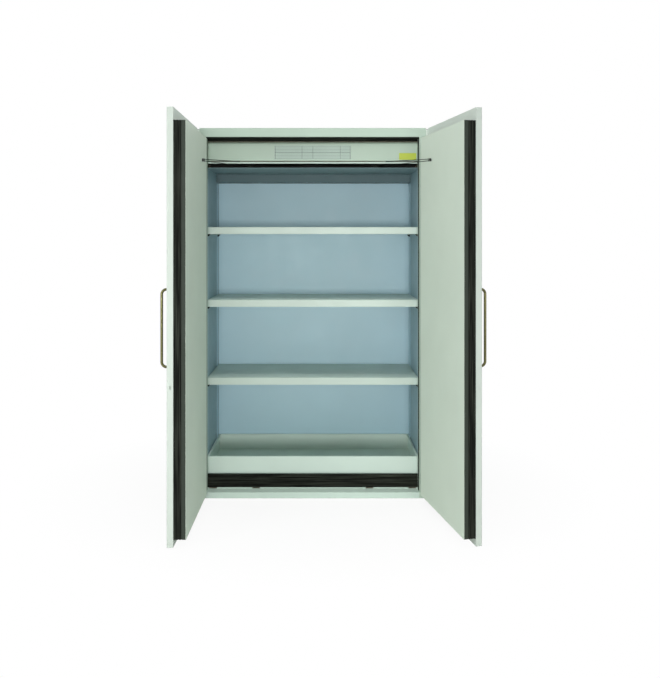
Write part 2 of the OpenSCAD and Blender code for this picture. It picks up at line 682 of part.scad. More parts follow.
// Lug with a hole for each rope, on a small base
module rope_anchor() {
    x = -hinge_x + anchor_reach;
    difference() {
        union() {
            box([x - 13, block_back, sheave_z - 8], [x + 13, block_back + anchor_base_t, sheave_z + 9]);
            box([x - lug_t / 2, block_back, sheave_z - 6.5],
                [x + lug_t / 2, block_back + lug_reach, sheave_z + 8.5]);
        }
        for (z = [anchor_lower_z, anchor_upper_z]) translate([x - lug_t, block_back + lug_rope_y, z])
            rotate([0, 90, 0]) cylinder(h = 2 * lug_t, r = rope_r + 0.3);
        for (s = [-8, 8]) translate([x + s, block_back - 1, sheave_z]) rotate([-90, 0, 0])
            cylinder(h = 5, r = 1.8);
    }
}

// Pockets that only one door has: the lock in the right one, the bolt's keeper in the left one
module keeper_pocket()
    box([-leaf_x1 - 7, lock_case_y + 3, bolt_z - 8], [-leaf_x1 + 1, lock_case_y + 12, bolt_z + 8]);
module lock_pocket() {
    translate([-lock_x, leaf_front - 1, lock_z]) rotate([-90, 0, 0]) cylinder(h = 12, r = plug_r + 4.2);
    box([-lock_x - lock_case[0] / 2, lock_case_y, lock_z - lock_case[2] / 2 - 4],
        [-lock_x + lock_case[0] / 2, lock_case_y + lock_case[1], lock_z + lock_case[2] / 2 - 4]);
    box([-lock_x, lock_case_y + 4, bolt_z - 6.5], [-leaf_x1 + 1, lock_case_y + 11, bolt_z + 6.5]);
}
module left_door_skin() color(paint) left_door_swing() difference() {
    door_skin();
    keeper_pocket();
}
module left_door_core() color(board) left_door_swing() door_core();
module left_door_liner() color(paint) left_door_swing() door_liner();
module left_edge_seal() color(seal_black) left_door_swing() edge_seal();
module left_edge_trim() color(trim_grey) left_door_swing() edge_trim();
module left_handle() color(olive_brass) left_door_swing() handle();
module left_rope_anchor() color(seal_black) left_door_swing() rope_anchor();
module right_door_skin() color(paint) right_door_swing() difference() {
    door_skin();
    lock_pocket();
}
module right_door_core() color(board) right_door_swing() difference() {
    door_core();
    lock_pocket();
}
module right_door_liner() color(paint) right_door_swing() door_liner();
module right_edge_seal() color(seal_black) right_door_swing() edge_seal();
module right_edge_trim() color(trim_grey) right_door_swing() edge_trim();
module right_handle() color(olive_brass) right_door_swing() handle();
module right_rope_anchor() color(seal_black) right_door_swing() rope_anchor();

// ---- Lock ----

// Case with its barrel: the bolt slides through the case's foot, and the plug turns in the barrel
module lock_barrel() color(steel) right_door_swing() difference() {
    union() {
        translate([-lock_x, leaf_front - 2, lock_z]) rotate([-90, 0, 0]) cylinder(h = 2, r = plug_r + 8);
        translate([-lock_x, leaf_front, lock_z]) rotate([-90, 0, 0]) cylinder(h = 12, r = plug_r + 4);
        box([-lock_x - lock_case[0] / 2, lock_case_y, lock_z - lock_case[2] / 2 - 4],
            [-lock_x + lock_case[0] / 2, lock_case_y + lock_case[1], lock_z + lock_case[2] / 2 - 4]);
    }
    translate([-lock_x, leaf_front - 3, lock_z]) rotate([-90, 0, 0]) cylinder(h = 19, r = plug_r);
    translate([-lock_x, lock_case_y + 2.5, lock_z]) rotate([-90, 0, 0]) cylinder(h = 10, r = 16);
    box([-lock_x - lock_case[0] / 2 - 1, lock_case_y + 4, bolt_z - 6.3],
        [-lock_x + lock_case[0] / 2 + 1, lock_case_y + 10.6, bolt_z + 6.3]);
}
// Keyed plug with a short tail inside the case
module lock_plug() color(olive_brass) right_door_swing()
    translate([-lock_x, leaf_front, lock_z]) difference() {
    union() {
        translate([0, -3, 0]) rotate([-90, 0, 0]) cylinder(h = 18, r = plug_r - 0.05);
        translate([-3, 14, 0]) cube([6, 3, 11]);
    }
    translate([-0.8, -4, -4]) cube([1.6, 10, 8]);
}
module lock_bolt() color(paint) right_door_swing()
    translate([-leaf_x1 - 0.3 - bolt[0], lock_case_y + 4.3, bolt_z - 6])
    cube(bolt);

// ---- Hinges ----

// Full-height hinge: even knuckles belong to the carcass and odd ones to the door
module carcass_hinge_leaves() color(paint) both_sides() at_front() for (i = [0 : 2 : hinge_parts - 1]) {
    z0 = hinge_cut(i);
    h = hinge_cut(i + 1) - z0;
    difference() {
        union() {
            translate([-hinge_x, hinge_y, z0]) cylinder(h = h, r = knuckle_r);
            box([-half_w - hinge_plate_t, hinge_y, z0], [-half_w, hinge_plate_d, z0 + h]);
        }
        translate([-hinge_x, hinge_y, z0 - 1]) cylinder(h = h + 2, r = pin_r);
    }
}
module hinge_pins() color(steel) both_sides() at_front() translate([-hinge_x, hinge_y, hinge_z0]) {
    pin_l = hinge_cut(hinge_parts) - hinge_z0;
    cylinder(h = pin_l, r = pin_r);
    translate([0, 0, pin_l]) cylinder(h = 3, r = knuckle_r - 0.5);
}
module hinge_washers() color([0.75, 0.62, 0.30]) both_sides() at_front() for (i = [1 : 2 : hinge_parts - 2])
    translate([-hinge_x, hinge_y, hinge_cut(i)]) difference() {
        cylinder(h = washer_t, r = knuckle_r - 0.5);
        translate([0, 0, -1]) cylinder(h = washer_t + 2, r = pin_r + 0.1);
    }

left_side_panel();
right_side_panel();
top_panel();
back_panel();
base_pan();
side_cores();
back_core();
top_core();
bottom_core();
front_lintel();
front_sill();
frame_seals();
left_liner();
right_liner();
back_liner();
ceiling_liner();
floor_liner();
shelf_uprights();
shelf_clips();
shelf_1();
shelf_2();
shelf_3();
sump_tray();
exhaust_collector();
exhaust_duct();
damper_disc();
header_panel();
header_lip();
closer_channel();
label_plate();
inspection_tag();
sheave_brackets();
sheave_axles();
left_sheave();
right_sheave();
spring_cartridges();
inner_ropes();
left_ropes();
right_ropes();
levelling_feet();
carcass_hinge_leaves();
hinge_pins();
hinge_washers();
left_door_skin();
left_door_core();
left_door_liner();
left_edge_seal();
left_edge_trim();
left_handle();
left_rope_anchor();
right_door_skin();
right_door_core();
right_door_liner();
right_edge_seal();
right_edge_trim();
right_handle();
right_rope_anchor();
lock_barrel();
lock_plug();
lock_bolt();
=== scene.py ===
import math

import bmesh
import bpy
from mathutils import Matrix, Vector


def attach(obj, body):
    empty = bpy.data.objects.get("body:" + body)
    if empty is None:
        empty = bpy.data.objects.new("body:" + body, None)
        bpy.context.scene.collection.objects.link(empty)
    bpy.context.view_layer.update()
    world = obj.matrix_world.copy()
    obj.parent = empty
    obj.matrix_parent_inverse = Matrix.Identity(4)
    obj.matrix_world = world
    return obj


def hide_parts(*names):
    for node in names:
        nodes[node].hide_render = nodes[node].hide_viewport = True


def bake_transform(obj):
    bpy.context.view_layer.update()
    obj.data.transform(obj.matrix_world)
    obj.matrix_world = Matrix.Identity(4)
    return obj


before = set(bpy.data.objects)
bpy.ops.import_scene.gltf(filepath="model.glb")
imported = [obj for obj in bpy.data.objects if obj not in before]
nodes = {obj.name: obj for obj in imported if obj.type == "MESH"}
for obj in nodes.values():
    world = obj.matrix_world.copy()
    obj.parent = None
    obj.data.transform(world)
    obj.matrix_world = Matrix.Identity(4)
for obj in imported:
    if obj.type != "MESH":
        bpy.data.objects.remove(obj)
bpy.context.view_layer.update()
scene = bpy.context.scene

# ---- Camera: one vanishing point, level, centre of view a little right of the cabinet's middle ----

F_PX = 694.0
LONG_SIDE = 678.0
FRONT_Y = -0.2905
HINGE_X = 0.604
ANCHOR_BASE = 0.0562
RIGHT_OPEN = math.radians(102)
RIGHT_IN = Vector((-math.sin(RIGHT_OPEN), math.cos(RIGHT_OPEN), 0))
RIGHT_HINGE = Vector((HINGE_X, FRONT_Y - 0.002, 0))
cam_data = bpy.data.cameras.new("camera")
cam_data.sensor_width = 36.0
cam_data.lens = F_PX / LONG_SIDE * 36.0
cam_data.shift_x = 8.0 / LONG_SIDE
cam_data.shift_y = -99.0 / LONG_SIDE
cam_data.clip_end = 60.0
camera = bpy.data.objects.new("camera", cam_data)
camera.location = (0.0496, FRONT_Y - 3.660, 1.362)
camera.rotation_euler = (math.radians(90), 0, 0)
scene.collection.objects.link(camera)
scene.camera = camera
scene.view_settings.view_transform = "Standard"


# ---- Materials ----

# Sockets of a Mix node that mixes colours
FACTOR, COLOUR_A, COLOUR_B, COLOUR_OUT = 0, 6, 7, 2


def linear(hex_colour, share=1.0):
    """sRGB hex to a linear RGBA tuple, lightened or darkened by a share."""
    out = []
    for i in (0, 2, 4):
        c = int(hex_colour[i : i + 2], 16) / 255
        out.append(share * (c / 12.92 if c <= 0.04045 else ((c + 0.055) / 1.055) ** 2.4))
    return (*out, 1.0)


def per_metre(size_mm):
    """Scale of a pattern whose repeat is a size in millimetres."""
    return 1000 / size_mm


def add(tree, kind, inputs=None, **settings):
    """Add a node: settings are its own options, inputs are plain values or the outputs that feed them."""
    made = tree.nodes.new("ShaderNode" + kind)
    for key, value in settings.items():
        setattr(made, key, value)
    for key, value in (inputs or {}).items():
        if isinstance(value, bpy.types.NodeSocket):
            tree.links.new(value, made.inputs[key])
        else:
            made.inputs[key].default_value = value
    return made


def start_material(name):
    """An empty material, its node tree and the point of the surface in metres."""
    mat = bpy.data.materials.new(name)
    mat.use_nodes = True
    mat.node_tree.nodes.clear()
    return mat, mat.node_tree, add(mat.node_tree, "TexCoord").outputs["Object"]


def powder_coat(name, colour, roughness=0.42, dust_top=0.0, gloss=0.5):
    """Polyester powder coat baked on folded steel sheet.

    It gives a matt to satin face with an orange peel 2.2 mm across and 0.02 mm deep, whose tone drifts by
    4 per cent over a hand's breadth. A textured coat has a higher roughness and a lower gloss. Below
    dust_top metres the paint carries patches of floor dust.
    """
    mat, tree, point = start_material(name)
    broad = add(tree, "TexNoise", {"Vector": point, "Scale": per_metre(260), "Detail": 2.0})
    drift = add(tree, "MapRange", {"Value": broad.outputs["Fac"], "From Min": 0.3, "From Max": 0.7})
    tone = add(
        tree,
        "Mix",
        {FACTOR: drift.outputs["Result"], COLOUR_A: linear(colour), COLOUR_B: linear(colour, 0.96)},
        data_type="RGBA",
    )
    if dust_top:
        height = add(tree, "SeparateXYZ", {"Vector": point})
        low = add(
            tree,
            "MapRange",
            {"Value": height.outputs["Z"], "From Min": dust_top, "From Max": 0.0, "To Max": 0.1},
        )
        specks = add(
            tree, "TexNoise", {"Vector": point, "Scale": per_metre(28), "Detail": 5.0, "Roughness": 0.6}
        )
        dust = add(
            tree,
            "MapRange",
            {
                "Value": specks.outputs["Fac"],
                "From Min": 0.35,
                "From Max": 0.7,
                "To Max": low.outputs["Result"],
            },
        )
        tone = add(
            tree,
            "Mix",
            {FACTOR: dust.outputs["Result"], COLOUR_A: tone.outputs[COLOUR_OUT], COLOUR_B: linear("8f8d80")},
            data_type="RGBA",
        )
    handling = add(tree, "TexNoise", {"Vector": point, "Scale": per_metre(70), "Detail": 4.0})
    sheen = add(
        tree,
        "MapRange",
        {
            "Value": handling.outputs["Fac"],
            "From Min": 0.3,
            "From Max": 0.7,
            "To Min": roughness - 0.05,
            "To Max": roughness + 0.06,
        },
    )
    peel = add(tree, "TexNoise", {"Vector": point, "Scale": per_metre(2.2), "Detail": 1.5})
    skin = add(tree, "Bump", {"Height": peel.outputs["Fac"], "Distance": 0.00002})
    paint = add(
        tree,
        "BsdfPrincipled",
        {
            "Base Color": tone.outputs[COLOUR_OUT],
            "Roughness": sheen.outputs["Result"],
            "Normal": skin.outputs["Normal"],
            "IOR": 1.5,
            "Specular IOR Level": gloss,
        },
    )
    add(tree, "OutputMaterial", {"Surface": paint.outputs["BSDF"]})
    return mat


def graphite_seal(name, along):
    """Expanded-graphite fire seal in a rubber-like binder, extruded as a flat strip.

    It gives a matt black with paler streaks, partly the marks that the die left and partly painted highlights
    along the strip, drawn out in the direction that along shortens. The real streaks are under 1 mm wide;
    they are drawn 5 mm wide, so that they show from in front.
    """
    mat, tree, point = start_material(name)
    lengthwise = add(tree, "Mapping", {"Vector": point, "Scale": along})
    die_lines = add(
        tree,
        "TexNoise",
        {"Vector": lengthwise.outputs["Vector"], "Scale": per_metre(5), "Detail": 3.0, "Roughness": 0.6},
    )
    streaks_and_highlights = add(tree, "MapRange", {"Value": die_lines.outputs["Fac"], "From Min": 0.42, "From Max": 0.75})
    # Paler streaks: partly die marks, partly painted highlights along the strip
    tone = add(
        tree,
        "Mix",
        {FACTOR: streaks_and_highlights.outputs["Result"], COLOUR_A: linear("0a0c08"), COLOUR_B: linear("3c4038")},
        data_type="RGBA",
    )
    grit = add(tree, "TexNoise", {"Vector": point, "Scale": per_metre(1.1), "Detail": 3.0})
    grain = add(tree, "Bump", {"Height": grit.outputs["Fac"], "Distance": 0.00005})
    ribs = add(
        tree,
        "Bump",
        {"Height": die_lines.outputs["Fac"], "Distance": 0.0003, "Normal": grain.outputs["Normal"]},
    )
    strip = add(
        tree,
        "BsdfPrincipled",
        {
            "Base Color": tone.outputs[COLOUR_OUT],
            "Roughness": 0.8,
            "IOR": 1.52,
            "Specular IOR Level": 0.1,
            "Normal": ribs.outputs["Normal"],
        },
    )
    add(tree, "OutputMaterial", {"Surface": strip.outputs["BSDF"]})
    return mat


def drawn_metal(name, colour, roughness=0.32, grain_mm=1.2, along=(1, 1, 0.05), drift=0.88):
    """Bare, plated or blackened metal that was drawn, rolled or turned.

    It gives a metallic sheen broken by a grain grain_mm wide, drawn out in the direction that along shortens,
    and a tone that drifts by the share drift over 18 mm, as plating and oil do.
    """
    mat, tree, point = start_material(name)
    cloud = add(tree, "TexNoise", {"Vector": point, "Scale": per_metre(18), "Detail": 4.0})
    stain = add(tree, "MapRange", {"Value": cloud.outputs["Fac"], "From Min": 0.3, "From Max": 0.7})
    tone = add(
        tree,
        "Mix",
        {FACTOR: stain.outputs["Result"], COLOUR_A: linear(colour), COLOUR_B: linear(colour, drift)},
        data_type="RGBA",
    )
    lengthwise = add(tree, "Mapping", {"Vector": point, "Scale": along})
    lines = add(
        tree,
        "TexNoise",
        {
            "Vector": lengthwise.outputs["Vector"],
            "Scale": per_metre(grain_mm),
            "Detail": 3.0,
            "Roughness": 0.6,
        },
    )
    sheen = add(
        tree,
        "MapRange",
        {
            "Value": lines.outputs["Fac"],
            "From Min": 0.3,
            "From Max": 0.7,
            "To Min": roughness - 0.07,
            "To Max": roughness + 0.1,
        },
    )
    scratches = add(tree, "Bump", {"Height": lines.outputs["Fac"], "Distance": 0.000006})
    surface = add(
        tree,
        "BsdfPrincipled",
        {
            "Base Color": tone.outputs[COLOUR_OUT],
            "Metallic": 1.0,
            "Roughness": sheen.outputs["Result"],
            "Normal": scratches.outputs["Normal"],
        },
    )
    add(tree, "OutputMaterial", {"Surface": surface.outputs["BSDF"]})
    return mat


def calcium_silicate_board():
    """Pressed calcium-silicate fire board with sawn faces: chalky, mottled over 14 mm, with a 3 mm crumb."""
    mat, tree, point = start_material("calcium_silicate_board")
    mottle = add(
        tree, "TexNoise", {"Vector": point, "Scale": per_metre(14), "Detail": 6.0, "Roughness": 0.65}
    )
    patches = add(tree, "MapRange", {"Value": mottle.outputs["Fac"], "From Min": 0.3, "From Max": 0.7})
    tone = add(
        tree,
        "Mix",
        {FACTOR: patches.outputs["Result"], COLOUR_A: linear("cfc6b2"), COLOUR_B: linear("b3a88f")},
        data_type="RGBA",
    )
    crumb = add(tree, "TexNoise", {"Vector": point, "Scale": per_metre(3), "Detail": 5.0, "Roughness": 0.6})
    sawn = add(tree, "Bump", {"Height": crumb.outputs["Fac"], "Distance": 0.00025})
    board_face = add(
        tree,
        "BsdfPrincipled",
        {
            "Base Color": tone.outputs[COLOUR_OUT],
            "Roughness": 0.92,
            "IOR": 1.5,
            "Normal": sawn.outputs["Normal"],
        },
    )
    add(tree, "OutputMaterial", {"Surface": board_face.outputs["BSDF"]})
    return mat


def anchor_paint(name, outward, black_from):
    """Powder-coated rope bracket: a foot in the leaf's pale paint, an arm that is black past black_from."""
    mat, tree, point = start_material(name)
    reach = add(tree, "VectorMath", {0: point, 1: outward}, operation="DOT_PRODUCT")
    arm = add(tree, "Math", {0: reach.outputs["Value"], 1: black_from}, operation="GREATER_THAN")
    tone = add(
        tree,
        "Mix",
        {FACTOR: arm.outputs["Value"], COLOUR_A: linear("cfdacd"), COLOUR_B: linear("1b1e1a")},
        data_type="RGBA",
    )
    handling = add(tree, "TexNoise", {"Vector": point, "Scale": per_metre(30), "Detail": 3.0})
    sheen = add(tree, "MapRange", {"Value": handling.outputs["Fac"], "To Min": 0.36, "To Max": 0.5})
    peel = add(tree, "TexNoise", {"Vector": point, "Scale": per_metre(2.2), "Detail": 1.5})
    skin = add(tree, "Bump", {"Height": peel.outputs["Fac"], "Distance": 0.000015})
    paint = add(
        tree,
        "BsdfPrincipled",
        {
            "Base Color": tone.outputs[COLOUR_OUT],
            "Roughness": sheen.outputs["Result"],
            "Normal": skin.outputs["Normal"],
            "IOR": 1.5,
        },
    )
    add(tree, "OutputMaterial", {"Surface": paint.outputs["BSDF"]})
    return mat


GUIDE_LINE_MM = 2


def polyester_film(name, colour, ink=None, ink_from=0.0, rows_mm=8.0):
    """Self-adhesive polyester film under a clear laminate: smooth, with a faint ripple 9 mm across.

    A film with ink has pressed-in rules, which lie behind the plane y = ink_from and are filled with it, and
    printed guide lines rows_mm apart, paler than the rules. The lines are 2 mm thick, where real ones are
    0.3 mm, so that they show from in front.
    """
    mat, tree, point = start_material(name)
    cloud = add(tree, "TexNoise", {"Vector": point, "Scale": per_metre(60), "Detail": 2.0})
    fading = add(
        tree, "MapRange", {"Value": cloud.outputs["Fac"], "From Min": 0.3, "From Max": 0.7, "To Max": 0.6}
    )
    tone = add(
        tree,
        "Mix",
        {FACTOR: fading.outputs["Result"], COLOUR_A: linear(colour), COLOUR_B: linear(colour, 0.92)},
        data_type="RGBA",
    )
    if ink:
        place = add(tree, "SeparateXYZ", {"Vector": point})
        height = add(tree, "Math", {0: place.outputs["Z"], 1: per_metre(rows_mm)}, operation="MULTIPLY")
        within_row = add(tree, "Math", {0: height.outputs["Value"]}, operation="FRACT")
        line_from = 1 - GUIDE_LINE_MM / rows_mm
        guide = add(tree, "Math", {0: within_row.outputs["Value"], 1: line_from}, operation="GREATER_THAN")
        print_share = add(tree, "Math", {0: guide.outputs["Value"], 1: 0.5}, operation="MULTIPLY")
        tone = add(
            tree,
            "Mix",
            {FACTOR: print_share.outputs["Value"], COLOUR_A: tone.outputs[COLOUR_OUT], COLOUR_B: linear(ink)},
            data_type="RGBA",
        )
        groove = add(tree, "Math", {0: place.outputs["Y"], 1: ink_from}, operation="GREATER_THAN")
        tone = add(
            tree,
            "Mix",
            {FACTOR: groove.outputs["Value"], COLOUR_A: tone.outputs[COLOUR_OUT], COLOUR_B: linear(ink)},
            data_type="RGBA",
        )
    ripple = add(tree, "TexNoise", {"Vector": point, "Scale": per_metre(9), "Detail": 2.0})
    skin = add(tree, "Bump", {"Height": ripple.outputs["Fac"], "Distance": 0.00001})
    laminate = add(
        tree,
        "BsdfPrincipled",
        {
            "Base Color": tone.outputs[COLOUR_OUT],
            "Roughness": 0.34,
            "IOR": 1.46,
            "Coat Weight": 0.25,
            "Coat Roughness": 0.2,
            "Normal": skin.outputs["Normal"],
        },
    )
    add(tree, "OutputMaterial", {"Surface": laminate.outputs["BSDF"]})
    return mat


# Outside of the carcass and doors: pale grey-green powder coat. The frame's and the header's copies are a
# shade darker than the leaves', as painted shade, and the copy on the sill and header lip is a shade paler,
# as painted light
frame_paint_painted_shade = powder_coat("powder_coat_frame_painted_shade", "bacdbd", roughness=0.6, dust_top=0.12, gloss=0.25)
leaf_paint = powder_coat("powder_coat_leaf", "ced8ce", roughness=0.7, dust_top=0.12, gloss=0.12)
# Header panel: a darker copy of the same coat, painted shade
header_paint_painted_shade = powder_coat("powder_coat_header_painted_shade", "b9cdbb", roughness=0.4)
door_inside = powder_coat("powder_coat_door_inside", "cedacb", roughness=0.66, gloss=0.2)
# Shelves: a shade darker than the sump's copy of the same coat, painted shade
shelf_paint_painted_shade = powder_coat("powder_coat_shelf_painted_shade", "bdcdc2", roughness=0.38)
sump_paint = powder_coat("powder_coat_sump", "cedfd4", roughness=0.38)
# Sill and header lip: a paler copy of the same coat, painted light
sill_paint_painted_light = powder_coat("powder_coat_sill_painted_light", "ccded3", roughness=0.6, gloss=0.25)
# Inside: one blue-grey powder coat, with darker copies as painted shade on the side walls and floor, under
# the ceiling and on the exhaust collector
inner = powder_coat("powder_coat_inner", "b4d4df", roughness=0.44)
side_wall_painted_shade = powder_coat("powder_coat_side_wall_painted_shade", "8ba6ae", roughness=0.46)
ceiling_painted_shade = powder_coat("powder_coat_ceiling_painted_shade", "7b9497", roughness=0.48)
# Exhaust collector: the darkest copy, painted shade of the header
collector_painted_shade = powder_coat("powder_coat_collector_painted_shade", "5a7175", roughness=0.5, gloss=0.3)
# Dark fittings
trim_paint = powder_coat("powder_coat_edge_profile", "2b332a", roughness=0.6, gloss=0.3)
black = powder_coat("black_powder_coat", "0c0f0b", roughness=0.6, gloss=0.15)
door_seal = graphite_seal("graphite_seal_door", (1, 1, 0.02))
frame_seal = graphite_seal("graphite_seal_frame", (0.02, 1, 1))
# Bare metal: galvanised duct with 16 mm spangle, olive anodised handles, zinc, blackened steel and brass
duct_zinc = drawn_metal("galvanised_sheet", "a9b0b2", 0.38, grain_mm=16, along=(1, 1, 1), drift=0.75)
olive = drawn_metal("olive_anodised_bar", "5c5a3c", 0.3, grain_mm=0.8, along=(1, 1, 0.04))
zinc = drawn_metal("zinc_plated_steel", "8d9191", 0.36)
blackened = drawn_metal("blackened_steel", "2b2d2a", 0.42, along=(1, 1, 1))
rope_steel = drawn_metal("stranded_wire_rope", "1a1c19", 0.5, along=(1, 1, 1))
brass = drawn_metal("brass_washer", "b08d4a", 0.3)
board = calcium_silicate_board()
tag_film = polyester_film("polyester_film_tag", "bccb3a")
plate_film = polyester_film("polyester_film_plate", "b6cbbd", "4f5c57", FRONT_Y + 0.05635)
left_anchor_paint = anchor_paint("left_anchor_paint", (1, 0, 0), ANCHOR_BASE - HINGE_X)
right_anchor_paint = anchor_paint("right_anchor_paint", RIGHT_IN, RIGHT_HINGE.dot(RIGHT_IN) + ANCHOR_BASE)

CAD_LOOKS = {
    frame_paint_painted_shade: "left_side_panel right_side_panel top_panel back_panel base_pan front_lintel",
    sill_paint_painted_light: "front_sill header_lip",
    leaf_paint: "left_door_skin right_door_skin carcass_hinge_leaves lock_bolt",
    header_paint_painted_shade: "header_panel",
    door_inside: "left_door_liner right_door_liner",
    trim_paint: "left_edge_trim right_edge_trim",
    inner: "back_liner shelf_uprights",
    side_wall_painted_shade: "left_liner right_liner floor_liner",
    ceiling_painted_shade: "ceiling_liner",
    collector_painted_shade: "exhaust_collector",
    shelf_paint_painted_shade: "shelf_1 shelf_2 shelf_3",
    sump_paint: "sump_tray",
    board: "side_cores back_core top_core bottom_core left_door_core right_door_core",
    door_seal: "left_edge_seal right_edge_seal",
    frame_seal: "frame_seals",
    black: "closer_channel sheave_brackets shelf_clips spring_cartridges",
    left_anchor_paint: "left_rope_anchor",
    right_anchor_paint: "right_rope_anchor",
    blackened: "left_sheave right_sheave inner_ropes",
    olive: "left_handle right_handle lock_plug",
    zinc: "sheave_axles levelling_feet hinge_pins lock_barrel damper_disc",
    duct_zinc: "exhaust_duct",
    brass: "hinge_washers",
    plate_film: "label_plate",
    tag_film: "inspection_tag",
}
for look, names in CAD_LOOKS.items():
    for n in names.split():
        nodes[n].data.materials.clear()
        nodes[n].data.materials.append(look)

# Folded sheet and machined edges catch a thin line of light: 0.6 mm of softening on what shows from near by
SOFT_EDGES = (
    "left_side_panel right_side_panel top_panel back_panel front_lintel front_sill header_panel label_plate"
    " shelf_1 shelf_2 shelf_3 sump_tray left_door_skin right_door_skin left_edge_trim right_edge_trim"
    " left_rope_anchor right_rope_anchor carcass_hinge_leaves closer_channel sheave_brackets"
)
for n in SOFT_EDGES.split():
    weld = nodes[n].modifiers.new("weld", "WELD")
    weld.merge_threshold = 0.00001
    soften = nodes[n].modifiers.new("soften", "BEVEL")
    soften.width = 0.0006
    soften.segments = 2
    soften.limit_method = "ANGLE"
    soften.angle_limit = math.radians(40)

# ---- Wire ropes: six strands laid round the rope's axis, running straight from the carcass to each door ----

ROPE_R = 0.00175


def turned_to(direction, at):
    """Matrix that takes the Z axis to direction and the origin to at."""
    return Matrix.Translation(at) @ Vector(direction).to_track_quat("Z", "Y").to_matrix().to_4x4()


def laid_rope(name, a, b, r=ROPE_R, lay=0.016, strands=6):
    """A taut wire rope from a to b: a disc spun along a screw line is one strand, and five copies join it."""
    length = (b - a).length
    along = (b - a) / length
    steps = int(length / lay * 10)
    wire = r * 0.42
    off_axis = a + along.orthogonal().normalized() * (r - wire)
    bm = bmesh.new()
    bmesh.ops.create_circle(bm, cap_ends=True, segments=6, radius=wire, matrix=turned_to(along, off_axis))
    bmesh.ops.spin(
        bm,
        geom=bm.verts[:] + bm.edges[:] + bm.faces[:],
        cent=a,
        axis=along,
        dvec=along * (length / steps),
        angle=2 * math.pi * length / lay,
        steps=steps,
    )
    strand = bm.verts[:] + bm.edges[:] + bm.faces[:]
    for i in range(1, strands):
        copy = bmesh.ops.duplicate(bm, geom=strand)["geom"]
        copy_verts = [v for v in copy if isinstance(v, bmesh.types.BMVert)]
        turn = Matrix.Rotation(2 * math.pi * i / strands, 3, along)
        bmesh.ops.rotate(bm, verts=copy_verts, cent=a, matrix=turn)
    bmesh.ops.recalc_face_normals(bm, faces=bm.faces)
    return finish_mesh(bm, name, rope_steel, smooth=True)


def finish_mesh(bm, name, look, smooth=False):
    mesh = bpy.data.meshes.new(name)
    bm.to_mesh(mesh)
    bm.free()
    for p in mesh.polygons:
        p.use_smooth = smooth
    mesh.materials.append(look)
    obj = bpy.data.objects.new(name, mesh)
    scene.collection.objects.link(obj)
    return obj


def islands(node):
    """The separate solids of a CAD node, as lists of points."""
    mesh = nodes[node].data
    parent = {}

    def root(k):
        while parent[k] != k:
            parent[k] = parent[parent[k]]
            k = parent[k]
        return k

    keys = [tuple(round(c, 5) for c in v.co) for v in mesh.vertices]
    for k in keys:
        parent.setdefault(k, k)
    for p in mesh.polygons:
        first = root(keys[p.vertices[0]])
        for v in p.vertices[1:]:
            parent[root(keys[v])] = first
    groups = {}
    for k in set(keys):
        groups.setdefault(root(k), []).append(Vector(k))
    return list(groups.values())


def rope_ends(points):
    """Middle of the end at the carcass and of the end at the door, for one straight rope."""
    ys = sorted(p.y for p in points)
    span = ys[-1] - ys[0]
    near = [p for p in points if p.y > ys[-1] - span * 0.2]
    far = [p for p in points if p.y < ys[0] + span * 0.2]
    return sum(near, Vector()) / len(near), sum(far, Vector()) / len(far)


rope_tails = {"left": [], "right": []}
for side_name in ("left", "right"):
    for i, points in enumerate(sorted(islands(side_name + "_ropes"), key=lambda ps: min(p.z for p in ps))):
        start, end = rope_ends(points)
        rope = laid_rope(f"{side_name}_rope_{('lower', 'upper')[i]}", start, end)
        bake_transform(rope)
        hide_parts(side_name + "_ropes")
        rope_tails[side_name].append((start, end))

# ---- Small fasteners ----


def ring(bm, segments, radius, height, place, cap=False):
    """Edges of one level circle of a turned part."""
    made = bmesh.ops.create_circle(
        bm, cap_ends=cap, segments=segments, radius=radius, matrix=place @ Matrix.Translation((0, 0, height))
    )
    return list({e for v in made["verts"] for e in v.link_edges})


def turned(bm, place, rings):
    """Bridge a stack of circles, each (segments, radius, height); the last one is closed."""
    loops = [ring(bm, n, r, h, place, cap=k == len(rings) - 1) for k, (n, r, h) in enumerate(rings)]
    for low, high in zip(loops, loops[1:]):
        bmesh.ops.bridge_loops(bm, edges=low + high)


def screw_heads(name, places, r, height, body, look=None):
    """Low pan heads with a hexagon socket, one at each (point, outward direction)."""
    bm = bmesh.new()
    socket = [(6, r * 0.46, height), (6, r * 0.46, height * 0.3)]
    head = [(20, r, 0), (20, r, height * 0.45), (20, r * 0.78, height)] + socket
    for at, out in places:
        turned(bm, turned_to(out, at), head)
    bmesh.ops.recalc_face_normals(bm, faces=bm.faces)
    obj = finish_mesh(bm, name, look or zinc)
    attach(obj, body)
    return obj


def on_carcass(side, x, y, z):
    """Left-hand point in millimetres from the front edge of the side panels, or its mirror image."""
    return Vector((SIGN[side] * x, y, z)) / 1000 + Vector((0, FRONT_Y, 0))


def on_leaf(side, x, y, z):
    """The same for a point of the closed leaf, where it stands with the door open."""
    turn = OPEN_ANGLE[side]
    dx, dy = x + HINGE_X * 1000, y - HINGE_Y
    return on_carcass(
        side,
        -HINGE_X * 1000 + dx * math.cos(turn) + dy * math.sin(turn),
        HINGE_Y - dx * math.sin(turn) + dy * math.cos(turn),
        z,
    )


def out_from(place, side, direction):
    """Direction that a left-hand direction takes on the carcass or on an open leaf."""
    return place(side, *direction) - place(side, 0, 0, 0)


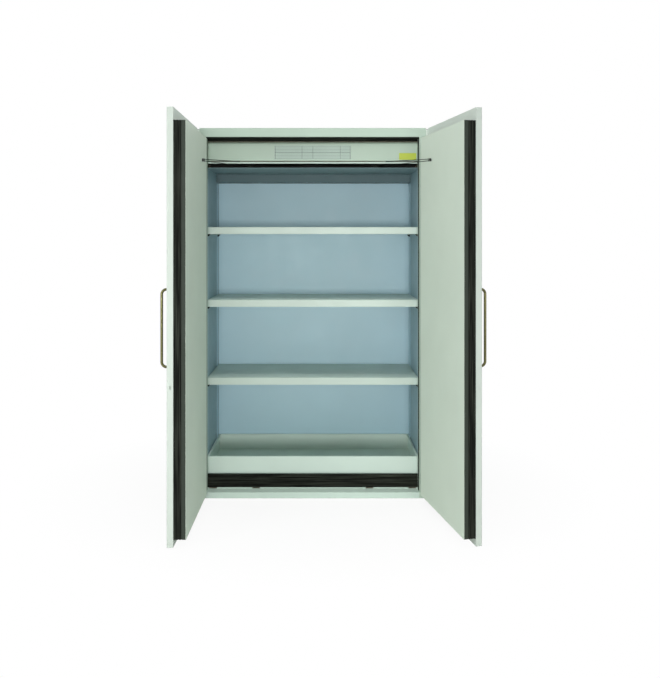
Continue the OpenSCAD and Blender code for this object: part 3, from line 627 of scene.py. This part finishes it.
SIGN = {"left": 1, "right": -1}
OPEN_ANGLE = {"left": math.radians(90), "right": RIGHT_OPEN}
HINGE_Y = -2
HINGE_FOOT, HINGE_TOP, KNUCKLES = 10, 1943, 7
SKIN_X = 600
LEAF_EDGE_X = 599
ANCHOR_X, ANCHOR_FACE_Y, ROPE_Z = -399, 54, 1759
CUTS = [round(HINGE_FOOT + i * (HINGE_TOP - HINGE_FOOT) / KNUCKLES) for i in range(KNUCKLES + 1)]
for side_name in ("left", "right"):
    fixed, swinging = [], []
    for i in range(KNUCKLES):
        place, x, y, found = (
            (on_carcass, SKIN_X, 24, fixed) if i % 2 == 0 else (on_leaf, LEAF_EDGE_X, -15, swinging)
        )
        for share in (0.14, 0.5, 0.86):
            z = CUTS[i] + (CUTS[i + 1] - CUTS[i]) * share
            found.append((place(side_name, -x, y, z), out_from(place, side_name, (-1, 0, 0))))
    screw_heads(side_name + "_hinge_screws_fixed", fixed, 0.0042, 0.0014, "carcass")
    screw_heads(side_name + "_hinge_screws_door", swinging, 0.0042, 0.0014, side_name + "_door")
    anchor = [
        (on_leaf(side_name, ANCHOR_X + s, ANCHOR_FACE_Y, ROPE_Z), out_from(on_leaf, side_name, (0, 1, 0)))
        for s in (-8, 8)
    ]
    screw_heads(side_name + "_anchor_screws", anchor, 0.003, 0.0014, side_name + "_door")
    bm = bmesh.new()
    for start, end in rope_tails[side_name]:
        back = (start - end).normalized()
        sleeve = [(16, 0.0019, 0.0015), (16, 0.0029, 0.002), (16, 0.0029, 0.0095), (16, 0.0021, 0.0105)]
        turned(bm, turned_to(back, end), sleeve)
    bmesh.ops.recalc_face_normals(bm, faces=bm.faces)
    ferrules = finish_mesh(bm, side_name + "_rope_ferrules", blackened, smooth=True)
    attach(ferrules, side_name + "_door")

# ---- Floor, backdrop and light ----


def seen_directly(tree):
    """1 for what the camera sees, straight or in gloss or glass, and 0 for light that falls on surfaces."""
    path = add(tree, "LightPath")
    mirrored = add(
        tree,
        "Math",
        {0: path.outputs["Is Camera Ray"], 1: path.outputs["Is Glossy Ray"]},
        operation="MAXIMUM",
    )
    seen = add(
        tree, "Math", {0: mirrored.outputs[0], 1: path.outputs["Is Transmission Ray"]}, operation="MAXIMUM"
    )
    return seen.outputs[0]


def studio_floor():
    """Matt white paper, with a soft shadow round the cabinet's foot that fades to plain white 1 m away."""
    mat, tree, point = start_material("studio_floor")
    paper = add(tree, "BsdfPrincipled", {"Base Color": linear("f4f4f2"), "Roughness": 0.9})
    glow = add(tree, "Emission", {"Strength": 1.0})
    footprint = add(tree, "VectorMath", {0: point, 1: (0.8, 1.0, 0.0)}, operation="MULTIPLY")
    far = add(tree, "VectorMath", {0: footprint.outputs[0]}, operation="LENGTH")
    fade = add(
        tree,
        "MapRange",
        {
            "Value": far.outputs["Value"],
            "From Min": SHADOW_FROM,
            "From Max": SHADOW_TO,
            "To Min": SHADOW_FLOOR,
            "To Max": 1.0,
        },
    )
    share = add(tree, "Math", {0: seen_directly(tree), 1: fade.outputs["Result"]}, operation="MULTIPLY")
    mixed = add(
        tree, "MixShader", {0: share.outputs[0], 1: paper.outputs["BSDF"], 2: glow.outputs["Emission"]}
    )
    add(tree, "OutputMaterial", {"Surface": mixed.outputs[0]})
    return mat


# Distances from the cabinet's middle between which the floor's shadow fades, and how white it is below it
SHADOW_FROM, SHADOW_TO, SHADOW_FLOOR = 0.5, 1.25, 0.88
sheet = bmesh.new()
bmesh.ops.create_grid(sheet, size=12, matrix=Matrix.Translation((0, 0, -0.0005)))
finish_mesh(sheet, "floor", studio_floor())

world = bpy.data.worlds.new("studio")
scene.world = world
world.use_nodes = True
world.node_tree.nodes.clear()
ambient = add(world.node_tree, "Background", {"Color": linear("f2f6fa"), "Strength": 0.4})
white = add(world.node_tree, "Background", {"Color": (1, 1, 1, 1), "Strength": 1.0})
seen = seen_directly(world.node_tree)
room = add(world.node_tree, "MixShader", {0: seen, 1: ambient.outputs[0], 2: white.outputs[0]})
add(world.node_tree, "OutputWorld", {"Surface": room.outputs[0]})


def soft_light(name, at, target, size, power, colour="ffffff"):
    data = bpy.data.lights.new(name, "AREA")
    data.shape = "RECTANGLE"
    data.size, data.size_y = size
    data.energy = power
    data.color = linear(colour)[:3]
    obj = bpy.data.objects.new(name, data)
    obj.location = at
    obj.rotation_euler = (Vector(target) - Vector(at)).to_track_quat("-Z", "Y").to_euler()
    scene.collection.objects.link(obj)
    return obj


key = soft_light("key", (0.1, -7.5, 1.0), (0, 0.0, 0.85), (1.4, 1.1), 19)
key.data.spread = math.radians(60)
soft_light("high_front", (-0.3, -3.2, 3.9), (0, -0.3, 1.0), (2.2, 1.2), 6)
soft_light("top", (0, -1.0, 4.4), (0, -0.3, 0.6), (2.4, 1.0), 50)
soft_light("left_fill", (-3.0, -3.2, 1.6), (0.7, -0.6, 1.0), (1.2, 1.8), 52)
soft_light("right_fill", (3.2, -3.0, 1.6), (-0.7, -0.6, 1.0), (1.2, 1.8), 12)
soft_light("rear", (0.6, 3.8, 2.2), (0, 0.3, 0.9), (2.4, 1.6), 60)
